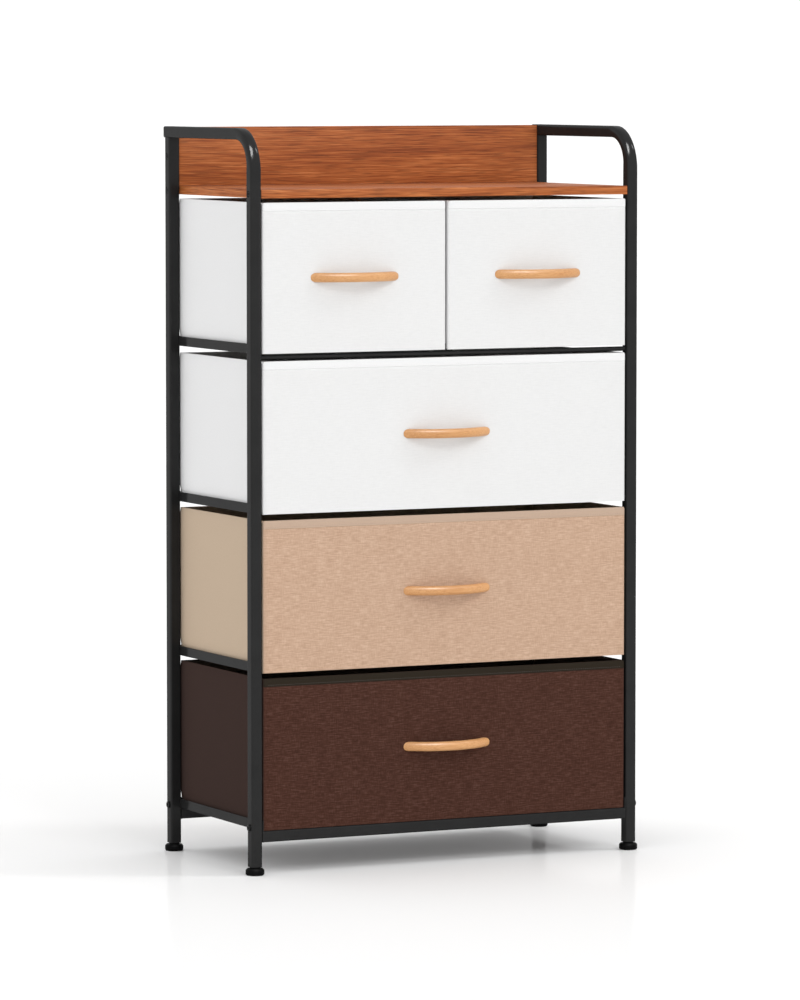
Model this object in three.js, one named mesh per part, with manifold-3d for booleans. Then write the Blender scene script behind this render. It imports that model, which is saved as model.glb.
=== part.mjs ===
// A free-standing dresser: a steel tube frame with a board top carries five sewn fabric drawers.
// Lengths are millimetres. +Z is up, the drawers open towards -Y, and the origin lies on the
// floor under the middle of the whole.

import * as THREE from 'three';
import { mergeVertices } from 'three/addons/utils/BufferGeometryUtils.js';
import Module from 'manifold-3d';

const wasm = await Module();
wasm.setup();

// Frame tubes
const frameWidth = 600;
const frameDepth = 290;
const trayRise = 83.6; // from the shelf's top to the arms' tops
const tubeSize = 16;
const tubeWall = 1.2;
const tubeCorner = 2;
const bendRadius = 48; // of the tube's centre line, where a front post turns back into its arm
const armOverhang = 4; // the arms run this far past the rear posts
const postRise = 11.5; // the posts' lower ends stand this high above the floor
const postPlug = 6; // solid end of a post, which the foot's stem screws into

// Angle rails that the drawers slide on, each with a ledge at its underside
const angleWall = 1.5;
const angleWidth = 16;
const angleHeight = 13.3;
const angleInset = 13.5; // from the posts' outer faces

// Bottom rails, bolted between the posts at the front and the rear
const bottomRailLevel = 45.3;
const bottomRailHeight = 15.6;
const bottomRailDepth = 15;
const endPlateWall = 1.5;
const endPlateMargin = 10; // of the end plate above its bolt
const boltRise = 5.1; // of the frame bolts above the bottom rails

// Cross bars between the posts and the rail under the small drawers' inner sides
const frontBarDiameter = 6.5;
const rearBarHeight = 13.3;
const rearBarDepth = 8;
const rearBarInset = 1; // from the posts' rear faces
const centreRailWidth = 22;
const centreRibWall = 1.2;
const centreRibHeight = 10;

// Boards
const boardThickness = 12;
const boardInset = 1; // behind the posts' faces, and under the arms' tops
const boardFit = 0.4; // at each end, between the posts

// Drawers
const drawerInset = 2; // of a drawer's front behind the posts' front faces
const drawerSideGap = 2;
const drawerMiddleGap = 3.7;
const drawerRearGap = 2; // in front of the rear cross bars
const wideHeight = 208; // from the underside of the floor to the rim
const smallHeight = 205.3;
const wideLip = 1.8; // the front panel hangs this far below the floor
const smallLip = 1.2;
const lowestPanelGap = 0.5; // between the lowest drawer's front panel and the bottom rail
const thirdRailGap = 7.8; // from a drawer's rim up to the underside of the next rails
const secondRailGap = 8.8;
const topRailGap = 9.9;
const frontBarGap = 2.1; // from the second drawer's rim up to the front cross bar
const shelfGap = 6; // from the top drawers' rims up to the shelf
const fabricWall = 3;
const fabricFloor = 1.5;
const bottomBoardThickness = 3;
const bottomBoardGap = 1;

// Bow pulls
const pullLength = 134;
const pullHeight = 13;
const pullReach = 25;
const pullThickness = 12;
const pullFoot = 24;
const pullScrewInset = 19; // of each screw from its end of the pull

// Feet
const footRadius = 13;
const footHeight = 9.5;
const footChamfer = 2;
const footNeckRadius = 7.5;
const stemRadius = 4;
const stemLength = 20; // above the post's lower end

// Fasteners
const boltRadius = 3;
const boltHeadRadius = 4.8;
const boltHeadHeight = 2.5;
const boltSocketRadius = 2;
const boltSocketDepth = 1.5;
const boardScrewHeadRadius = 4;
const boardScrewHeadHeight = 2.5;
const boardScrewRadius = 2.2;
const boardScrewBite = 22; // length inside the board
const pullScrewHeadRadius = 4;
const pullScrewHeadHeight = 2.2;
const pullScrewRadius = 2;
const pullScrewBite = 8.5; // length inside the pull

// Fits
const seam = 0.3; // between pieces that touch
const holeFit = 0.3; // around a screw, bolt or stem
const slideFit = 0.3; // between a drawer and its rails
const overrun = 5; // how far a cut runs past the face that it opens

// Smoothness
const cornerSteps = 1;
const bendSteps = 9;
const pullSteps = 8;
const roundSegments = 20;
const mergeDistance = 1e-4;

// Levels, from the floor up: each tier is named for its rails' underside
const drawerFloor = angleWall + slideFit;
const rimRise = drawerFloor + wideHeight;
const bottomRailTop = bottomRailLevel + bottomRailHeight;
const boltLevel = bottomRailTop + boltRise;
const lowestLevel = bottomRailTop + lowestPanelGap + wideLip - drawerFloor;
const thirdLevel = lowestLevel + rimRise + thirdRailGap;
const secondLevel = thirdLevel + rimRise + secondRailGap;
const topLevel = secondLevel + rimRise + topRailGap;
const frontBarLevel = secondLevel + rimRise + frontBarGap + frontBarDiameter / 2;
const centreRailLevel = frontBarLevel + frontBarDiameter / 2 + seam;
const centreRailWall = topLevel + angleWall - centreRailLevel;
const shelfLevel = topLevel + drawerFloor + smallHeight + shelfGap;
const shelfScrewLevel = shelfLevel + boardThickness / 2;
const frameHeight = shelfLevel + boardThickness + trayRise;
const bottomOfBackBoard = shelfLevel + boardThickness + seam;
const topOfBackBoard = frameHeight - boardInset;
const backBoardScrewLevel = (bottomOfBackBoard + topOfBackBoard) / 2;

// Places across and back
const postX = (frameWidth - tubeSize) / 2;
const frontPostY = tubeSize / 2;
const rearPostY = frameDepth - tubeSize / 2;
const clearWidth = frameWidth - tubeSize * 2;
const rearBarFront = frameDepth - rearBarInset - rearBarDepth;
const drawerDepth = rearBarFront - drawerRearGap - drawerInset;
const pullScrewX = pullLength / 2 - pullScrewInset;

const sides = [{ name: 'left', sign: -1 }, { name: 'right', sign: 1 }];

const steel = () => new THREE.MeshStandardMaterial({ color: 0x242424, roughness: 0.42, metalness: 0.6 });
const plastic = () => new THREE.MeshStandardMaterial({ color: 0x1b1b1b, roughness: 0.55, metalness: 0 });
const board = () => new THREE.MeshStandardMaterial({ color: 0x9c5230, roughness: 0.5, metalness: 0 });
const palewood = () => new THREE.MeshStandardMaterial({ color: 0xe0a267, roughness: 0.45, metalness: 0 });
const fibreboard = () => new THREE.MeshStandardMaterial({ color: 0x2f2d2c, roughness: 0.9, metalness: 0 });
const fabric = (color) => new THREE.MeshStandardMaterial({ color, roughness: 0.95, metalness: 0 });

const whiteFabric = 0xf0f0ee;
const tanFabric = 0xd0ae92;
const brownFabric = 0x4d322a;

function toSolid(geometry) {
  const bare = geometry.clone();
  bare.deleteAttribute('normal');
  bare.deleteAttribute('uv');
  const merged = mergeVertices(bare, mergeDistance);
  return new wasm.Manifold(new wasm.Mesh({
    numProp: 3,
    vertProperties: merged.attributes.position.array,
    triVerts: Uint32Array.from(merged.index.array),
  }));
}

function toGeometry(solid) {
  const mesh = solid.getMesh();
  const geometry = new THREE.BufferGeometry();
  geometry.setAttribute('position', new THREE.BufferAttribute(mesh.vertProperties, 3));
  geometry.setIndex(new THREE.BufferAttribute(mesh.triVerts, 1));
  geometry.computeVertexNormals();
  return geometry;
}

function cut(geometry, tools) {
  return toGeometry(tools.reduce((solid, tool) => solid.subtract(toSolid(tool)), toSolid(geometry)));
}

function joined(geometries) {
  const [first, ...others] = geometries.map(toSolid);
  return toGeometry(others.reduce((solid, other) => solid.add(other), first));
}

const dresser = new THREE.Group();

// Inside this group, Y is measured back from the posts' front faces.
const assembly = new THREE.Group();
const frontmostY = drawerInset - seam - pullReach;
assembly.position.y = -(frontmostY + frameDepth + armOverhang) / 2;
dresser.add(assembly);

function addPiece(name, geometry, material, x = 0, y = 0, z = 0) {
  const mesh = new THREE.Mesh(geometry, material);
  mesh.name = name;
  mesh.position.set(x, y, z);
  assembly.add(mesh);
}

// A box between two corners
function block(low, high) {
  const size = new THREE.Vector3().subVectors(high, low);
  const box = new THREE.BoxGeometry(size.x, size.y, size.z);
  return box.translate((low.x + high.x) / 2, (low.y + high.y) / 2, (low.z + high.z) / 2);
}

function cylinderX(radius, fromX, toX, y, z) {
  const rod = new THREE.CylinderGeometry(radius, radius, toX - fromX, roundSegments);
  return rod.rotateZ(Math.PI / 2).translate((fromX + toX) / 2, y, z);
}

function cylinderY(radius, fromY, toY, x, z) {
  const rod = new THREE.CylinderGeometry(radius, radius, toY - fromY, roundSegments);
  return rod.translate(x, (fromY + toY) / 2, z);
}

function cylinderZ(radius, fromZ, toZ) {
  const rod = new THREE.CylinderGeometry(radius, radius, toZ - fromZ, roundSegments);
  return rod.rotateX(Math.PI / 2).translate(0, 0, (fromZ + toZ) / 2);
}

// A rectangle with round corners, centred on the origin
function roundedRectangle(outline, width, height, corner) {
  const x = width / 2 - corner;
  const y = height / 2 - corner;
  outline.absarc(x, y, corner, 0, Math.PI / 2, false);
  outline.absarc(-x, y, corner, Math.PI / 2, Math.PI, false);
  outline.absarc(-x, -y, corner, Math.PI, Math.PI * 3 / 2, false);
  outline.absarc(x, -y, corner, Math.PI * 3 / 2, Math.PI * 2, false);
  return outline;
}

function tubeSection(width, height, wall) {
  const section = roundedRectangle(new THREE.Shape(), width, height, tubeCorner);
  const bore = roundedRectangle(new THREE.Path(), width - wall * 2, height - wall * 2, tubeCorner - wall);
  section.holes.push(bore);
  return section;
}

// A section drawn in x and y, run along Y; its x stays X and its y becomes Z
function runAlongY(section, fromY, toY, curveSegments = cornerSteps) {
  const run = new THREE.ExtrudeGeometry(section, {
    depth: toY - fromY, bevelEnabled: false, curveSegments,
  });
  return run.rotateX(Math.PI / 2).translate(0, toY, 0);
}

// A section run along X, centred; its x becomes Z and its y stays Y
function runAlongX(section, length, curveSegments = cornerSteps) {
  const run = new THREE.ExtrudeGeometry(section, { depth: length, bevelEnabled: false, curveSegments });
  return run.rotateY(Math.PI / 2).translate(-length / 2, 0, 0);
}

// The centre line of a side tube: straight up, a quarter bend, then straight back.
// One extrusion step falls on each station, so the straight runs need no points between.
class SideTubeLine extends THREE.Curve {
  constructor(bottom, end) {
    super();
    this.bottom = bottom;
    this.straightRise = frameHeight - tubeSize / 2 - bendRadius - bottom;
    this.armRun = end - frontPostY - bendRadius;
    this.stations = bendSteps + 2;
  }

  bendAngle(t) {
    const turned = (t * this.stations - 1) / bendSteps;
    return THREE.MathUtils.clamp(turned, 0, 1) * Math.PI / 2;
  }

  getPoint(t, target = new THREE.Vector3()) {
    const station = t * this.stations;
    const angle = this.bendAngle(t);
    const rise = Math.min(station, 1) * this.straightRise + Math.sin(angle) * bendRadius;
    const run = Math.max(station - 1 - bendSteps, 0) * this.armRun;
    return target.set(0, (1 - Math.cos(angle)) * bendRadius + run, this.bottom + rise);
  }

  getTangent(t, target = new THREE.Vector3()) {
    const angle = this.bendAngle(t);
    return target.set(0, Math.sin(angle), Math.cos(angle));
  }

  getUtoTmapping(u) {
    return u;
  }
}

function sweep(width, corner, line) {
  const section = roundedRectangle(new THREE.Shape(), width, width, corner);
  return new THREE.ExtrudeGeometry(section, {
    steps: line.stations, extrudePath: line, curveSegments: cornerSteps,
  });
}

// Holes of one post, around its own axis: the stem's, the frame bolt's and the board screws'.
// A board screw's head lies flush in the outer wall, and its shank passes both walls.
function postHoles(side, screwLevels) {
  const outside = tubeSize / 2 + overrun;
  const headHole = (level) => {
    const faces = [side.sign * outside, side.sign * (tubeSize / 2 - tubeWall - holeFit)];
    return cylinderX(boardScrewHeadRadius + holeFit, Math.min(...faces), Math.max(...faces), 0, level);
  };
  return [
    cylinderZ(stemRadius + holeFit, postRise - overrun, postRise + postPlug + overrun),
    cylinderX(boltRadius + holeFit, -outside, outside, 0, boltLevel),
    ...screwLevels.map((level) => cylinderX(boardScrewRadius + holeFit, -outside, outside, 0, level)),
    ...screwLevels.map(headHole),
  ];
}

function sideTube(side) {
  const armEnd = frameDepth + armOverhang;
  const outer = sweep(tubeSize, tubeCorner, new SideTubeLine(postRise, armEnd));
  const boreLine = new SideTubeLine(postRise + postPlug, armEnd - tubeWall);
  const bore = sweep(tubeSize - tubeWall * 2, tubeCorner - tubeWall, boreLine);
  return cut(outer, [bore, ...postHoles(side, [shelfScrewLevel])]);
}

function rearPost(side) {
  const top = frameHeight - tubeSize - seam;
  const section = roundedRectangle(new THREE.Shape(), tubeSize, tubeSize, tubeCorner);
  const boreWidth = tubeSize - tubeWall * 2;
  const boreSection = roundedRectangle(new THREE.Shape(), boreWidth, boreWidth, tubeCorner - tubeWall);
  const outer = new THREE.ExtrudeGeometry(section, {
    depth: top - postRise, bevelEnabled: false, curveSegments: cornerSteps,
  }).translate(0, 0, postRise);
  const bore = new THREE.ExtrudeGeometry(boreSection, {
    depth: top - postRise - postPlug + overrun, bevelEnabled: false, curveSegments: cornerSteps,
  }).translate(0, 0, postRise + postPlug);
  return cut(outer, [bore, ...postHoles(side, [shelfScrewLevel, backBoardScrewLevel])]);
}

for (const side of sides) {
  addPiece(`${side.name}_side_tube`, sideTube(side), steel(), side.sign * postX, frontPostY);
  addPiece(`${side.name}_rear_post`, rearPost(side), steel(), side.sign * postX, rearPostY);
}

// An angle rail: an upright leg at the outside and a ledge that reaches inwards
function angleRail(side) {
  const outline = [
    [0, 0], [angleWidth, 0], [angleWidth, angleWall],
    [angleWall, angleWall], [angleWall, angleHeight], [0, angleHeight],
  ];
  const section = new THREE.Shape(outline.map(([x, z]) => new THREE.Vector2(-side.sign * x, z)));
  return runAlongY(section, tubeSize + seam, frameDepth - tubeSize - seam);
}

const tiers = [
  { name: 'lowest', level: lowestLevel },
  { name: 'third', level: thirdLevel },
  { name: 'second', level: secondLevel },
  { name: 'top', level: topLevel },
];

for (const tier of tiers) {
  for (const side of sides) {
    const x = side.sign * (frameWidth / 2 - angleInset);
    addPiece(`${tier.name}_rail_${side.name}`, angleRail(side), steel(), x, 0, tier.level);
  }
}

// A bottom rail with an upright plate at each end, which a frame bolt screws into
function bottomRail() {
  const length = clearWidth - seam * 2;
  const plateTop = boltLevel + endPlateMargin - bottomRailLevel;
  const section = roundedRectangle(new THREE.Shape(), bottomRailHeight, bottomRailDepth, tubeCorner);
  const bar = runAlongX(section, length).translate(0, 0, bottomRailHeight / 2);
  const plates = sides.map((side) => {
    const faces = [side.sign * length / 2, side.sign * (length / 2 - endPlateWall)];
    return block(
      new THREE.Vector3(Math.min(...faces), -bottomRailDepth / 2, 0),
      new THREE.Vector3(Math.max(...faces), bottomRailDepth / 2, plateTop),
    );
  });
  const boreHeight = bottomRailHeight - tubeWall * 2;
  const boreSection = roundedRectangle(
    new THREE.Shape(), boreHeight, bottomRailDepth - tubeWall * 2, tubeCorner - tubeWall,
  );
  const bore = runAlongX(boreSection, length + overrun).translate(0, 0, bottomRailHeight / 2);
  const boltHole = cylinderX(boltRadius + holeFit, -length, length, 0, boltLevel - bottomRailLevel);
  return cut(joined([bar, ...plates]), [bore, boltHole]);
}

addPiece('front_bottom_rail', bottomRail(), steel(), 0, frontPostY, bottomRailLevel);
addPiece('rear_bottom_rail', bottomRail(), steel(), 0, rearPostY, bottomRailLevel);

// The front cross bar is a round rod; the rear ones are flat tubes that stop the drawers.
function frontBar() {
  const section = new THREE.Shape().absarc(0, 0, frontBarDiameter / 2, 0, Math.PI * 2, false);
  return runAlongX(section, clearWidth - seam * 2, pullSteps);
}

addPiece('front_cross_bar', frontBar(), steel(), 0, frontPostY, frontBarLevel);
for (const tier of tiers.slice(1)) {
  const bar = runAlongX(tubeSection(rearBarHeight, rearBarDepth, tubeWall), clearWidth - seam * 2);
  const y = rearBarFront + rearBarDepth / 2;
  addPiece(`${tier.name}_rear_bar`, bar, steel(), 0, y, tier.level + rearBarHeight / 2);
}

// The centre rail is an upturned T that carries the inner sides of both small drawers.
// It lies on the front bar and reaches back to the top rear bar.
function centreRail() {
  const width = centreRailWidth / 2;
  const rib = centreRibWall / 2;
  const outline = [
    [-width, 0], [width, 0], [width, centreRailWall], [rib, centreRailWall],
    [rib, centreRibHeight], [-rib, centreRibHeight], [-rib, centreRailWall], [-width, centreRailWall],
  ];
  const section = new THREE.Shape(outline.map(([x, z]) => new THREE.Vector2(x, z)));
  const front = drawerInset + fabricWall + drawerSideGap;
  return runAlongY(section, front, rearBarFront - seam);
}

addPiece('centre_rail', centreRail(), steel(), 0, 0, centreRailLevel);

// Boards, drilled at both ends for the screws that come through the posts
const boardLength = clearWidth - boardFit * 2;

function screwHoles(places) {
  return sides.flatMap((side) => places.map(({ y, z }) => {
    const ends = [boardLength / 2 + overrun, boardLength / 2 - boardScrewBite - holeFit];
    const [near, far] = ends.map((end) => side.sign * end);
    return cylinderX(boardScrewRadius + holeFit, Math.min(near, far), Math.max(near, far), y, z);
  }));
}

const shelf = block(
  new THREE.Vector3(-boardLength / 2, boardInset, shelfLevel),
  new THREE.Vector3(boardLength / 2, frameDepth - boardInset, shelfLevel + boardThickness),
);
const shelfScrews = [{ y: frontPostY, z: shelfScrewLevel }, { y: rearPostY, z: shelfScrewLevel }];
addPiece('top_shelf', cut(shelf, screwHoles(shelfScrews)), board());

const backBoard = block(
  new THREE.Vector3(-boardLength / 2, rearPostY - boardThickness / 2, bottomOfBackBoard),
  new THREE.Vector3(boardLength / 2, rearPostY + boardThickness / 2, topOfBackBoard),
);
const backBoardScrews = [{ y: rearPostY, z: backBoardScrewLevel }];
addPiece('back_board', cut(backBoard, screwHoles(backBoardScrews)), board());

// Turned pieces, from a list of radius and height pairs that starts and ends on the axis
function turned(profile) {
  const points = profile.map(([radius, height]) => new THREE.Vector2(radius, height));
  return new THREE.LatheGeometry(points, roundSegments);
}

function screw(headRadius, headHeight, shankRadius, shankLength) {
  return turned([
    [0, 0], [headRadius, 0], [headRadius, headHeight], [shankRadius, headHeight],
    [shankRadius, headHeight + shankLength - shankRadius], [0, headHeight + shankLength],
  ]);
}

// A cap bolt with a rounded head and a socket, its head below zero and its shank above
function frameBolt() {
  const length = tubeSize + seam + endPlateWall;
  const crownRadius = boltHeadRadius - boltHeadHeight / 2;
  return turned([
    [0, boltSocketDepth - boltHeadHeight], [boltSocketRadius, boltSocketDepth - boltHeadHeight],
    [boltSocketRadius, -boltHeadHeight], [crownRadius, -boltHeadHeight],
    [boltHeadRadius, -boltHeadHeight / 2], [boltHeadRadius, -seam], [boltRadius, -seam],
    [boltRadius, length], [0, length],
  ]);
}

function boardScrew() {
  const shank = tubeSize - boardScrewHeadHeight + boardFit + boardScrewBite;
  return screw(boardScrewHeadRadius, boardScrewHeadHeight, boardScrewRadius, shank);
}

const ends = [{ name: 'front', y: frontPostY }, { name: 'rear', y: rearPostY }];

for (const side of sides) {
  const addFastener = (name, geometry, y, z) => {
    const inwards = geometry.rotateZ(side.sign * Math.PI / 2);
    addPiece(name, inwards, steel(), side.sign * frameWidth / 2, y, z);
  };
  for (const end of ends) {
    addFastener(`${end.name}_${side.name}_frame_bolt`, frameBolt(), end.y, boltLevel);
    addFastener(`${end.name}_${side.name}_shelf_screw`, boardScrew(), end.y, shelfScrewLevel);
  }
  addFastener(`${side.name}_back_board_screw`, boardScrew(), rearPostY, backBoardScrewLevel);
}

// A levelling foot: a chamfered disc, a neck and a stem that turns in the post's end
function foot() {
  return turned([
    [0, 0], [footRadius - footChamfer / 2, 0], [footRadius, footChamfer / 2],
    [footRadius, footHeight - footChamfer], [footRadius - footChamfer, footHeight],
    [footNeckRadius, footHeight], [footNeckRadius, postRise - seam], [stemRadius, postRise - seam],
    [stemRadius, postRise + stemLength], [0, postRise + stemLength],
  ]).rotateX(Math.PI / 2);
}

for (const side of sides) {
  for (const end of ends) {
    addPiece(`${end.name}_${side.name}_foot`, foot(), plastic(), side.sign * postX, end.y);
  }
}

// A sewn bin, open at the top, whose stiff front panel hangs below its floor
function fabricBin(width, height, lip) {
  const half = width / 2;
  const shell = block(
    new THREE.Vector3(-half, 0, 0),
    new THREE.Vector3(half, drawerDepth, height),
  );
  const frontPanel = block(
    new THREE.Vector3(-half, 0, -lip),
    new THREE.Vector3(half, fabricWall, height),
  );
  const inside = block(
    new THREE.Vector3(fabricWall - half, fabricWall, fabricFloor),
    new THREE.Vector3(half - fabricWall, drawerDepth - fabricWall, height + overrun),
  );
  const holes = sides.map((side) => cylinderY(
    pullScrewRadius + holeFit, -overrun, fabricWall + overrun,
    side.sign * pullScrewX, (height - lip) / 2,
  ));
  return cut(joined([shell, frontPanel]), [inside, ...holes]);
}

function bottomBoard(width) {
  const half = width / 2 - fabricWall - bottomBoardGap;
  const end = fabricWall + bottomBoardGap;
  return block(
    new THREE.Vector3(-half, end, fabricFloor + seam),
    new THREE.Vector3(half, drawerDepth - end, fabricFloor + seam + bottomBoardThickness),
  );
}

// An arc that spans a chord on the x axis and rises to its middle
function bowArc(outline, chord, rise, leftwards) {
  const radius = (chord * chord / 4 + rise * rise) / (rise * 2);
  const right = Math.atan2(radius - rise, chord / 2);
  const [start, end] = leftwards ? [right, Math.PI - right] : [Math.PI - right, right];
  outline.absarc(0, rise - radius, radius, start, end, !leftwards);
}

// A bow pull: a bar bent in plan, with round ends seen from the front and two feet on the panel
function bowPull() {
  const plan = new THREE.Shape();
  bowArc(plan, pullLength, pullReach, true);
  bowArc(plan, pullLength - pullFoot * 2, pullReach - pullThickness, false);
  const bow = new THREE.ExtrudeGeometry(plan, {
    depth: pullHeight, bevelEnabled: false, curveSegments: pullSteps,
  }).rotateZ(Math.PI).translate(0, 0, -pullHeight / 2);
  const front = roundedRectangle(new THREE.Shape(), pullLength, pullHeight, pullHeight / 2);
  const outline = runAlongY(front, -pullReach - overrun, overrun, pullSteps / 2);
  const rounded = toGeometry(toSolid(bow).intersect(toSolid(outline)));
  return cut(rounded, sides.map((side) => cylinderY(
    pullScrewRadius + holeFit, -pullScrewBite - holeFit, overrun, side.sign * pullScrewX, 0,
  )));
}

const wideWidth = clearWidth - drawerSideGap * 2;
const smallWidth = (wideWidth - drawerMiddleGap) / 2;
const smallX = (wideWidth - smallWidth) / 2;

const wide = { width: wideWidth, height: wideHeight, lip: wideLip };
const small = { width: smallWidth, height: smallHeight, lip: smallLip };

const drawers = [
  { name: 'lowest', x: 0, level: lowestLevel, size: wide, color: brownFabric },
  { name: 'third', x: 0, level: thirdLevel, size: wide, color: tanFabric },
  { name: 'second', x: 0, level: secondLevel, size: wide, color: whiteFabric },
  { name: 'top_left', x: -smallX, level: topLevel, size: small, color: whiteFabric },
  { name: 'top_right', x: smallX, level: topLevel, size: small, color: whiteFabric },
];

for (const { name, x, level, size, color } of drawers) {
  const { width, height, lip } = size;
  const z = level + drawerFloor;
  const pullZ = z + (height - lip) / 2;
  addPiece(`${name}_bin`, fabricBin(width, height, lip), fabric(color), x, drawerInset, z);
  addPiece(`${name}_bottom_board`, bottomBoard(width), fibreboard(), x, drawerInset, z);
  addPiece(`${name}_pull`, bowPull(), palewood(), x, drawerInset - seam, pullZ);
  for (const side of sides) {
    const shank = fabricWall + seam * 2 + pullScrewBite;
    const pullScrew = screw(pullScrewHeadRadius, pullScrewHeadHeight, pullScrewRadius, shank);
    const headBack = drawerInset + fabricWall + seam + pullScrewHeadHeight;
    addPiece(
      `${name}_pull_screw_${side.name}`, pullScrew.rotateX(Math.PI), steel(),
      x + side.sign * pullScrewX, headBack, pullZ,
    );
  }
}

export default dresser;
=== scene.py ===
"""A black steel dresser frame with wood-grain boards and five sewn fabric drawers.

Lengths are metres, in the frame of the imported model: +Z up, the drawers open towards -Y.
"""

import math

import bmesh
import bpy
from mathutils import Matrix, Vector, noise


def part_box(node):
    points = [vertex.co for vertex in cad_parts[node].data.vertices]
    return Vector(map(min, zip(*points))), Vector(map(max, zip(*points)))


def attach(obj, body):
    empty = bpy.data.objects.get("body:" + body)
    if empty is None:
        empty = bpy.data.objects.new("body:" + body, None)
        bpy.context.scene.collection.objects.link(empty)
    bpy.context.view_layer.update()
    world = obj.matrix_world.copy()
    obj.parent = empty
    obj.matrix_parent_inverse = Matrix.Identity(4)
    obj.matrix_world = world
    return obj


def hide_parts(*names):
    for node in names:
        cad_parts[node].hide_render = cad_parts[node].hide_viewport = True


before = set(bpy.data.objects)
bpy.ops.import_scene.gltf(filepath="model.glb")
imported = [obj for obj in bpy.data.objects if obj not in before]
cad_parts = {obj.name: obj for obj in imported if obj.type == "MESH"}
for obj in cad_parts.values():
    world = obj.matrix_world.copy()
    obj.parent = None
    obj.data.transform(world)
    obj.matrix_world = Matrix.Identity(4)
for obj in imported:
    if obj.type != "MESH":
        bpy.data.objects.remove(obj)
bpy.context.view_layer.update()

scene = bpy.context.scene
SIDES = {"left": -1, "right": 1}
ENDS = ("front", "rear")
TIERS = ("lowest", "third", "second", "top")
DRAWERS = ("lowest", "third", "second", "top_left", "top_right")
CLOTH_OF = {
    "lowest": "brown_fabric", "third": "tan_fabric", "second": "white_fabric",
    "top_left": "white_fabric", "top_right": "white_fabric",
}
UP = Vector((0, 0, 1))

# Distances below which points count as one
MERGE_GAP = 1e-6
NODE_MERGE_GAP = 1e-5

# Turns between faces: flat ones become one face, and edges of corners are rounded
ONE_FACE_TURN = math.radians(1)
CORNER_TURN = math.radians(50)

# Turns between faces above which an edge stays sharp
SMOOTH_TURN = math.radians(32)
FLAT_TURN = math.radians(20)
CLOTH_TURN = math.radians(50)
PULL_TURN = math.radians(60)

# Least parts of a face's direction that make it a wall, a front or a top
WALL_PART = 0.3
FRONT_PART = 0.6
TOP_PART = 0.9

# Roundings of the sharp edges
SOFT_EDGE = 0.0004
BAR_EDGE = 0.0006
CENTRE_RAIL_EDGE = 0.0003
BOARD_EDGE = 0.0008
BASE_BOARD_EDGE = 0.0007

# Sizes of the frame's tubes
TUBE_CORNER = 0.0024
BEND_RADIUS = 0.048
BEND_STEPS = 48
BEND_ROUNDING_SHARE = 0.6
BEND_ROUNDING_POWER = 0.8
BEND_SWELL_SHARE = 1.1
TUBE_SUPPORT = 0.004
TUBE_STRIPS = 4
ROUND_BAR_STEPS = 40
WELD_DEPTH = 0.0008

# Sizes of the drawers' walls and floors
CLOTH_WALL = 0.0029
CLOTH_CORNER = 0.0026
REAR_CORNER = 0.001
INNER_CORNER_SHARE = 0.6
LINING_CORNER_SHARE = 0.5
CLOTH_EDGE = 0.0011
CLOTH_GRID = 0.008
FLOOR_COVER = 0.0018
FLOOR_EDGE = 0.003
FLOOR_THICKNESS = 0.0012
LINING_GAP = 0.0002
LINING_WALL = 0.0004
LINING_DROP = 0.0009

# How far the cloth bows and sways off its flat walls, over which lengths, and how drawers differ
SIDE_BOW = 0.0011
SIDE_SWAY = 0.0009
SIDE_SWAY_LENGTH = 0.09
BACK_BOW = 0.002
BACK_SWAY = 0.001
BACK_SWAY_LENGTH = 0.1
PANEL_SWAY = 0.00045
PANEL_SWAY_LENGTH = 0.12
SWAY_STEPS = (7.3, 3.1, 5.7)
REAR_BULGE = 0.0011
REAR_BULGE_LENGTH = 0.09
REAR_BULGE_START = 0.017
REAR_BULGE_EASE = 0.005

# The front panel: its corners, its lip below the floor, its band and the stitches under it
PANEL_CORNER = 0.004
LIP_DEPTH = 0.0032
LIP_SHOULDER = 0.0006
LIP_EDGE = 0.002
TOP_EDGE = 0.0025
HEM_WIDTH = 0.011
HEM_STEP = 0.0004
SEAM_WIDTH = 0.0005
SEAM_DEPTH = 0.0003
STITCH_LENGTH = 0.0027
STITCH_PITCH = 0.0036
STITCH_WIDTH = 0.0006
STITCH_RISE = 0.0021
STITCH_MARGIN = 0.005

# Noise scales of the cloth, and the pitches of its threads and of the felt's dots
ACROSS_SLUB = (75, 600, 1)
UPWARD_SLUB = (620, 110, 1)
CLOTH_MOTTLE = (28, 28, 1)
FELT_FIBRE = (420, 420, 1)
THREAD_TWIST = (2500, 2500, 2500)
WEAVE_PITCH = 0.0009
FELT_PITCH = 0.0016
CLOTH_CONTRAST = 0.145

# Noise scales of the wood grain, first along it, and how far it wanders off its straight run
GRAIN_WANDER = (2, 5, 5)
GRAIN_BROAD = (3, 40, 40)
GRAIN_MIDDLING = (9, 260, 260)
GRAIN_STREAK = (14, 820, 820)
GRAIN_PORE = (34, 660, 660)
GRAIN_DRIFT = 0.02

# How broad the unevenness of the black finishes is, and how smooth their clear film
PAINT_MOTTLE = (24, 24, 24)
COAT_ROUGHNESS = 0.14

# Shifts of the flat map, so that walls that meet don't repeat one pattern
SIDE_MAP_SHIFT = 0.31
LEVEL_MAP_SHIFT = 0.17

# Sizes of the pulls
PULL_BAR = 0.012
PULL_ROUNDING = 0.0055
PULL_STEPS = 132
PULL_OVERSHOOT = math.radians(5)

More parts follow.
